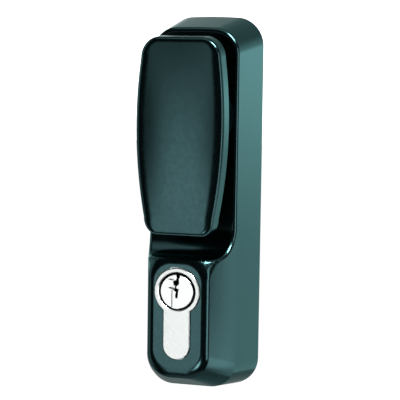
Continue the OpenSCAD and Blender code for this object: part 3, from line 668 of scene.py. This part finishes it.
# Name, depth of the floor, and corners measured from the plug's axis
PLUG_CUTS = (("keyway", 12.7, KEYWAY),
             ("milled_band", 39.85, [(-1.9, -8), (0.8, -8), (0.8, -2.2), (-1.9, -2.2)]),
             ("fine_groove", 39.6, [(-1.95, -8), (-1.6, -8), (-1.6, 0.9), (-1.95, 0.9)]),
             ("low_ward", 38.5, [(-3.3, 1.3), (-1.2, 0.6), (-1.2, 2.1)]),
             ("high_ward", 38.5, [(-3.5, 4.4), (-1.2, 3.9), (-1.2, 4.9)]))
for name, cut_floor, corners in PLUG_CUTS:
    cut(plug, drawn(name, [(x, z + CYL_Z) for x, z in corners], cut_floor, CUT_FRONT))
print("plug faces:", len(plug.data.polygons))

# %% [markdown]
# ## Smooth shading
# Cast and plated faces flow into each other, but the edges of a cut stay crisp. Shading is smoothed only
# across edges flatter than an angle, and the normals are weighted by face size, so that the big faces stay
# flat. The count of open edges shows whether a mesh is closed.

# %% Smooth the new pieces by angle
SMOOTH_ANGLE, FACE_WEIGHT = math.radians(32), 100


def open_edges(piece):
    edit(piece)
    bpy.ops.mesh.select_mode(type="EDGE")
    bpy.ops.mesh.select_all(action="DESELECT")
    bpy.ops.mesh.select_non_manifold()
    count = sum(e.select for e in bmesh.from_edit_mesh(piece.data).edges)
    leave()
    return count


for piece in (housing, knob, case, plug):
    take(piece)
    bpy.ops.object.shade_smooth_by_angle(angle=SMOOTH_ANGLE)
    even = piece.modifiers.new("even_normals", "WEIGHTED_NORMAL")
    even.keep_sharp = True
    even.weight = FACE_WEIGHT
    bpy.ops.object.modifier_apply(modifier=even.name)
    print(piece.name, "triangles:", sum(len(p.vertices) - 2 for p in piece.data.polygons),
          "open edges:", open_edges(piece))

# %% [markdown]
# ## Place the pieces on the bodies
# Each piece rides on the CAD body that it belongs to and hides the plain solid that it stands for.

# %% Ride and replace
for piece, body, plain, slot in (
        (housing, "housing", "housing", "dark_enamel"), (knob, "knob", "knob", "dark_enamel"),
        (case, "housing", "cylinder_case", "case_nickel"), (plug, "plug", "key_plug", "plug_nickel")):
    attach(piece, body)
    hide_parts(plain)
    print(piece.name, "rides on", body)

# %% [markdown]
# ## Shared surface effects
# Every finish here uses one of three effects: the fine peel of sprayed paint, lines left by drawing or
# brushing, and rings left by turning. Each is a node group that puts out values only, a fine height and a
# broad mottle, so every material can use it with its own scale.


# %% Node helpers
def node(tree, kind, **values):
    made = tree.nodes.new(kind)
    for key, value in values.items():
        setattr(made, key, value)
    return made


def feed(tree, value, socket):
    """Link an output to a socket, or write a number on it."""
    if isinstance(value, (int, float)):
        socket.default_value = value
    else:
        tree.links.new(value, socket)


def reckon(tree, how, *values):
    """A math node on outputs or numbers."""
    made = node(tree, "ShaderNodeMath", operation=how)
    for value, socket in zip(values, made.inputs):
        feed(tree, value, socket)
    return made.outputs[0]


def noise(tree, vector, scale, detail):
    made = node(tree, "ShaderNodeTexNoise")
    tree.links.new(vector, made.inputs["Vector"])
    feed(tree, scale, made.inputs["Scale"])
    made.inputs["Detail"].default_value = detail
    return made.outputs["Fac"]


def new_group(name, inputs):
    """A group with number inputs, the two outputs of an effect, and the place on the object."""
    tree = bpy.data.node_groups.new(name, "ShaderNodeTree")
    for label, value in inputs:
        socket = tree.interface.new_socket(label, in_out="INPUT", socket_type="NodeSocketFloat")
        socket.default_value = value
    for label in ("Height", "Mottle"):
        tree.interface.new_socket(label, in_out="OUTPUT", socket_type="NodeSocketFloat")
    place = node(tree, "ShaderNodeTexCoord").outputs["Object"]
    return tree, tree.nodes.new("NodeGroupInput").outputs, tree.nodes.new("NodeGroupOutput").inputs, place


print("node helpers ready")

# %% Paint peel
peel, given, result, place = new_group("paint_peel", [("Scale", 900.0)])
peel.links.new(noise(peel, place, scale=given["Scale"], detail=2), result["Height"])
peel.links.new(noise(peel, place, scale=60, detail=4), result["Mottle"])
print("peel nodes:", len(peel.nodes))

# %% Drawn lines
lines, given, result, place = new_group("drawn_lines", [("Across", 4000.0), ("Along", 60.0)])
stretch = node(lines, "ShaderNodeCombineXYZ")
for way, label in (("X", "Across"), ("Y", "Along"), ("Z", "Across")):
    lines.links.new(given[label], stretch.inputs[way])
stretched = node(lines, "ShaderNodeVectorMath", operation="MULTIPLY")
lines.links.new(place, stretched.inputs[0])
lines.links.new(stretch.outputs[0], stretched.inputs[1])
lines.links.new(noise(lines, stretched.outputs[0], scale=1.0, detail=3), result["Height"])
lines.links.new(noise(lines, place, scale=220, detail=4), result["Mottle"])
print("line nodes:", len(lines.nodes))

# %% Turned rings
rings, given, result, place = new_group("turned_rings", [("Centre Up", 0.0), ("Fineness", 9000.0)])
axes = node(rings, "ShaderNodeSeparateXYZ")
rings.links.new(place, axes.inputs[0])
flat = node(rings, "ShaderNodeCombineXYZ")
rings.links.new(axes.outputs["X"], flat.inputs["X"])
rings.links.new(reckon(rings, "SUBTRACT", axes.outputs["Z"], given["Centre Up"]), flat.inputs["Y"])
reach = node(rings, "ShaderNodeVectorMath", operation="LENGTH")
rings.links.new(flat.outputs[0], reach.inputs[0])
along = node(rings, "ShaderNodeCombineXYZ")
rings.links.new(reach.outputs["Value"], along.inputs["X"])
rings.links.new(noise(rings, along.outputs[0], scale=given["Fineness"], detail=2), result["Height"])
rings.links.new(noise(rings, place, scale=260, detail=4), result["Mottle"])
print("groups:", [group.name for group in bpy.data.node_groups])

# %% [markdown]
# ## Finishes
# A finish is a Principled shader whose colour and roughness vary a little and whose normal gets a fine
# bump. The helper mixes two colours with the mottle, and two roughness values with the height. The paint is
# metallic, so its colour comes from what it reflects. Two places get a second, near-black finish that is
# painted shade: the floor of the recess, which stays almost black, and the groove around the plug.

# %% Finish helper
NOISE_LOW, NOISE_HIGH, RELIEF = 0.3, 0.7, 0.02


def finish(name, group, values, colours, roughness, bump, **constants):
    """Values go to the group, constants to the shader's sockets, with _ for a space."""
    material = bpy.data.materials.new(name)
    material.use_nodes = True
    tree = material.node_tree
    shader = tree.nodes["Principled BSDF"]
    effect = node(tree, "ShaderNodeGroup", node_tree=group)
    for label, value in values.items():
        effect.inputs[label].default_value = value
    blend = node(tree, "ShaderNodeMix", data_type="RGBA")
    blend.inputs["A"].default_value, blend.inputs["B"].default_value = ((*c, 1) for c in colours)
    tree.links.new(effect.outputs["Mottle"], blend.inputs["Factor"])
    tree.links.new(blend.outputs["Result"], shader.inputs["Base Color"])
    rough = node(tree, "ShaderNodeMapRange")
    rough.inputs["From Min"].default_value, rough.inputs["From Max"].default_value = NOISE_LOW, NOISE_HIGH
    rough.inputs["To Min"].default_value, rough.inputs["To Max"].default_value = roughness
    tree.links.new(effect.outputs["Height"], rough.inputs["Value"])
    tree.links.new(rough.outputs["Result"], shader.inputs["Roughness"])
    relief = node(tree, "ShaderNodeBump")
    relief.inputs["Strength"].default_value = bump
    relief.inputs["Distance"].default_value = RELIEF * MM
    tree.links.new(effect.outputs["Height"], relief.inputs["Height"])
    tree.links.new(relief.outputs["Normal"], shader.inputs["Normal"])
    for label, value in constants.items():
        shader.inputs[label.replace("_", " ")].default_value = value
    return material


print("finish helper ready")

# %% Mix the finishes that show in front
enamel = finish("dark_teal_enamel", peel, {"Scale": 700.0}, ((0.027, 0.066, 0.070), (0.033, 0.074, 0.079)),
                roughness=(0.15, 0.2), bump=0.08, Metallic=1.0, Specular_Tint=(0.58, 0.8, 0.79, 1),
                Coat_Weight=0.05, Coat_Roughness=0.06)
# Painted shade: near-black paint for the recess floor, standing in for the shade behind the knob
recess_shade = finish("recess_painted_shade", peel, {"Scale": 700.0}, ((0.004, 0.009, 0.009), (0.006, 0.012, 0.012)),
                roughness=(0.3, 0.4), bump=0.1, Metallic=1.0, Specular_Tint=(0.3, 0.4, 0.4, 1))
# Painted shade: near-black for the groove around the plug and the plug's chamfer, a painted shadow gap
groove_shade = finish("groove_painted_shade", peel, {"Scale": 2500.0}, ((0.006, 0.007, 0.008), (0.014, 0.015, 0.016)),
                roughness=(0.5, 0.65), bump=0.2)
case_nickel = finish("brushed_nickel", lines, {"Across": 2500.0, "Along": 60.0},
                     ((0.72, 0.76, 0.75), (0.8, 0.83, 0.82)), roughness=(0.22, 0.27), bump=0.04, Metallic=1.0)
plug_nickel = finish("turned_nickel", rings, {"Centre Up": CYL_Z * MM, "Fineness": 5000.0},
                     ((0.7, 0.73, 0.72), (0.78, 0.8, 0.79)), roughness=(0.16, 0.26), bump=0.12, Metallic=1.0)
print("finishes in front:", len(bpy.data.materials))

# %% Mix the finishes of the mechanism
zinc = finish("zinc_plate", peel, {"Scale": 1500.0}, ((0.50, 0.51, 0.52), (0.66, 0.66, 0.64)),
              roughness=(0.28, 0.42), bump=0.25, Metallic=1.0)
steel = finish("drawn_steel", lines, {"Across": 3000.0, "Along": 40.0},
               ((0.46, 0.46, 0.46), (0.60, 0.60, 0.59)), roughness=(0.22, 0.38), bump=0.3, Metallic=1.0)
sinter = finish("sintered_steel", peel, {"Scale": 5000.0}, ((0.16, 0.16, 0.16), (0.28, 0.27, 0.26)),
                roughness=(0.4, 0.55), bump=0.6, Metallic=1.0)
spring = finish("spring_wire", lines, {"Across": 6000.0, "Along": 300.0},
                ((0.12, 0.12, 0.13), (0.2, 0.2, 0.2)), roughness=(0.28, 0.4), bump=0.2, Metallic=1.0)
brass = finish("turned_brass", rings, {"Fineness": 7000.0}, ((0.62, 0.45, 0.18), (0.74, 0.56, 0.26)),
               roughness=(0.2, 0.32), bump=0.2, Metallic=1.0)
bronze = finish("sintered_bronze", peel, {"Scale": 5000.0}, ((0.42, 0.27, 0.12), (0.52, 0.36, 0.18)),
                roughness=(0.35, 0.5), bump=0.5, Metallic=1.0)
nylon = finish("natural_nylon", peel, {"Scale": 2500.0}, ((0.74, 0.71, 0.63), (0.8, 0.78, 0.7)),
               roughness=(0.42, 0.52), bump=0.2)
print("finishes:", len(bpy.data.materials))

# %% Give every piece its finish
FINISHES = {"dark_enamel": enamel, "case_nickel": case_nickel, "plug_nickel": plug_nickel, "zinc_plate": zinc,
            "bright_steel": steel, "sintered_steel": sinter, "spring_steel": spring, "brass": brass,
            "bronze": bronze, "nylon": nylon}
slots = {entry["node"]: entry["material_slot"] for entry in frame["record"]["subparts"]}
for name, solid in frame["nodes"].items():
    solid.data.materials.clear()
    solid.data.materials.append(FINISHES[slots[name]])
for piece, material in ((housing, enamel), (knob, enamel), (case, case_nickel), (plug, plug_nickel)):
    piece.data.materials.clear()
    piece.data.materials.append(material)
print("solids with a finish:", len(frame["nodes"]))

# %% Paint shade on the recess floor and in the groove around the plug
FLOOR_SLACK, FACES_OUT = 0.03, -0.99
# Inner and outer radius, rear and front depth
CASE_GROOVE = (PLUG_R - 0.1, LIP_R + 0.1, 20, CYL_FACE - 0.1)
PLUG_GROOVE = (6.1, 7, 38, 39.9)


def second_finish(piece, material, test):
    """Give the faces that pass the test, from across, depth, up and normal, another finish."""
    piece.data.materials.append(material)
    count = 0
    for face in piece.data.polygons:
        x, y, z = face.center / MM
        if test(x, -y, z, face.normal):
            face.material_index = 1
            count += 1
    return count


# The recess floor faces, which get the painted shade
def on_floor(x, depth, z, normal):
    return abs(depth - FLOOR) < FLOOR_SLACK and normal.y < FACES_OUT


# The groove faces, which get the painted shade
def in_groove(inner, outer, rear, front):
    """A test for the faces between two radii about the plug's axis and between two depths."""
    return lambda x, depth, z, normal: inner < math.hypot(x, z - CYL_Z) < outer and rear < depth < front


print("recess faces:", second_finish(housing, recess_shade, on_floor))
print("groove faces:", second_finish(case, groove_shade, in_groove(*CASE_GROOVE)),
      second_finish(plug, groove_shade, in_groove(*PLUG_GROOVE)))

# %% [markdown]
# ## Floor, backdrop and light
# The picture is a plain product shot on white. The floor is a sheet well below the unit that is pale to the
# camera and gives the unit little light. The world is white to the camera. To reflections it is bright
# behind the unit and to its right, with one narrow card in front and dim walls elsewhere, as in a small
# studio. The darkness between them is what makes the paint read as black along its edges. The brightest
# places are above white, because the paint gives back only a few hundredths of what it mirrors.

# %% Lay the floor
FLOOR_UP = -400
SHEET_MIDDLE, SHEET_SIZE = (-2.9, 3), (6.2, 6)
SHEET_TONE, SHEET_GLOW, SHEET_SEEN, SHEET_MIRRORED = 0.08, 1.11, 0.9, 0.14
bpy.ops.object.select_all(action="DESELECT")
bpy.ops.mesh.primitive_plane_add(size=1, location=(*SHEET_MIDDLE, FLOOR_UP * MM))
bpy.context.object.scale = (*SHEET_SIZE, 1)
ground = apply_place(bpy.context.object, "floor")
paper = bpy.data.materials.new("floor_paper")
paper.use_nodes = True
tree = paper.node_tree
tree.nodes.remove(tree.nodes["Principled BSDF"])
matte = node(tree, "ShaderNodeBsdfDiffuse")
matte.inputs["Color"].default_value = (SHEET_TONE, SHEET_TONE, SHEET_TONE, 1)
glow = node(tree, "ShaderNodeEmission")
glow.inputs["Strength"].default_value = SHEET_GLOW
path = node(tree, "ShaderNodeLightPath")
seen = reckon(tree, "MULTIPLY", path.outputs["Is Camera Ray"], SHEET_SEEN)
mirrored = reckon(tree, "MULTIPLY", path.outputs["Is Glossy Ray"], SHEET_MIRRORED)
mixed = node(tree, "ShaderNodeMixShader")
tree.links.new(reckon(tree, "MAXIMUM", seen, mirrored), mixed.inputs[0])
tree.links.new(matte.outputs[0], mixed.inputs[1])
tree.links.new(glow.outputs[0], mixed.inputs[2])
tree.links.new(mixed.outputs[0], tree.nodes["Material Output"].inputs["Surface"])
ground.data.materials.append(paper)
print("floor at", FLOOR_UP, "mm")

# %% [markdown]
# The walls of the studio are painted on the world by direction. Each fade names where it starts and stops
# along one axis of the ray, and how bright it is at both ends. Fades that are multiplied bound a wall on
# several sides, the brightest wall in a direction wins, and the card is added to it.

# %% Open the world
world = bpy.data.worlds.new("studio")
world.use_nodes = True
bpy.context.scene.world = world
tree = world.node_tree
facing = node(tree, "ShaderNodeSeparateXYZ")
tree.links.new(node(tree, "ShaderNodeTexCoord").outputs["Generated"], facing.inputs[0])
across, away, upward = (facing.outputs[axis] for axis in "XYZ")


def fade(value, start, stop, first, last, kind="SMOOTHSTEP"):
    made = node(tree, "ShaderNodeMapRange", interpolation_type=kind)
    for label, number in (("From Min", start), ("From Max", stop), ("To Min", first), ("To Max", last)):
        made.inputs[label].default_value = number
    tree.links.new(value, made.inputs["Value"])
    return made.outputs["Result"]


def together(how, first, *others):
    """Chain one math operation over several outputs."""
    for other in others:
        first = reckon(tree, how, first, other)
    return first


print("world:", world.name)

# %% Paint the walls and the card
DIM, CARD_ASIDE = 0.035, 0.305
from_level = reckon(tree, "ABSOLUTE", upward)
from_card = reckon(tree, "ABSOLUTE", reckon(tree, "ADD", across, CARD_ASIDE))
backdrop = together("MULTIPLY", fade(away, 0.2, 0.7, first=0.01, last=1),
                    fade(from_level, 0, 0.115, first=2.3, last=0.95, kind="LINEAR"),
                    fade(upward, 0.12, 0.36, first=1, last=0.4))
side_wall = together("MULTIPLY", backdrop, fade(across, 0.45, 0.75, first=1, last=1.5))
low_wall = together("MULTIPLY", fade(upward, -0.21, -0.15, first=2.3, last=0),
                    fade(away, 0.1, 0.4, first=0, last=1), fade(across, 0.5, 0.75, first=0, last=1))
left_wall = together("MULTIPLY", fade(across, -0.9, -0.65, first=0.7, last=0),
                     fade(away, -0.45, -0.15, first=0, last=1))
ceiling = fade(upward, 0.82, 0.97, first=DIM, last=0.8)
low_front = fade(upward, -0.95, -0.78, first=0.35, last=0)
front_card = together("MULTIPLY", fade(from_card, 0.06, 0.15, first=2.0, last=0),
                      fade(upward, -0.14, 0.12, first=1, last=0),
                      fade(upward, -0.22, -0.13, first=0.72, last=1),
                      fade(away, -0.8, -0.5, first=1, last=0))
walls = together("MAXIMUM", side_wall, low_wall, left_wall, ceiling, low_front)
reflected = together("ADD", walls, front_card)
seen = node(tree, "ShaderNodeLightPath").outputs["Is Camera Ray"]
tree.links.new(together("MAXIMUM", reflected, seen), tree.nodes["Background"].inputs["Color"])
bpy.context.scene.view_settings.view_transform = "Standard"
print("world nodes:", len(tree.nodes))

# %% [markdown]
# Three lamps light the unit itself: a broad sun from above on the right, a small softbox from below in
# front, and a tall strip on the right that draws a line along the edges.

# %% Hang the lamps
AIM, STRIP_TALL = (0, -20, -30), 1.0


def lamp(name, kind, place, energy, size):
    light = bpy.data.lights.new(name, kind)
    light.energy = energy
    if kind == "AREA":
        light.size = size
    else:
        light.angle = size
    hung = bpy.data.objects.new(name, light)
    bpy.context.scene.collection.objects.link(hung)
    hung.location = Vector(place) * MM
    hung.rotation_euler = (Vector(AIM) * MM - hung.location).to_track_quat("-Z", "Y").to_euler()
    return hung


lamp("key", "SUN", place=(550, -270, 770), energy=6.4, size=math.radians(28))
lamp("low_softbox", "AREA", place=(60, -1050, -650), energy=1.6, size=0.25)
strip = lamp("right_strip", "AREA", place=(1100, -380, -80), energy=3.6, size=0.4)
strip.data.shape = "RECTANGLE"
strip.data.size_y = STRIP_TALL
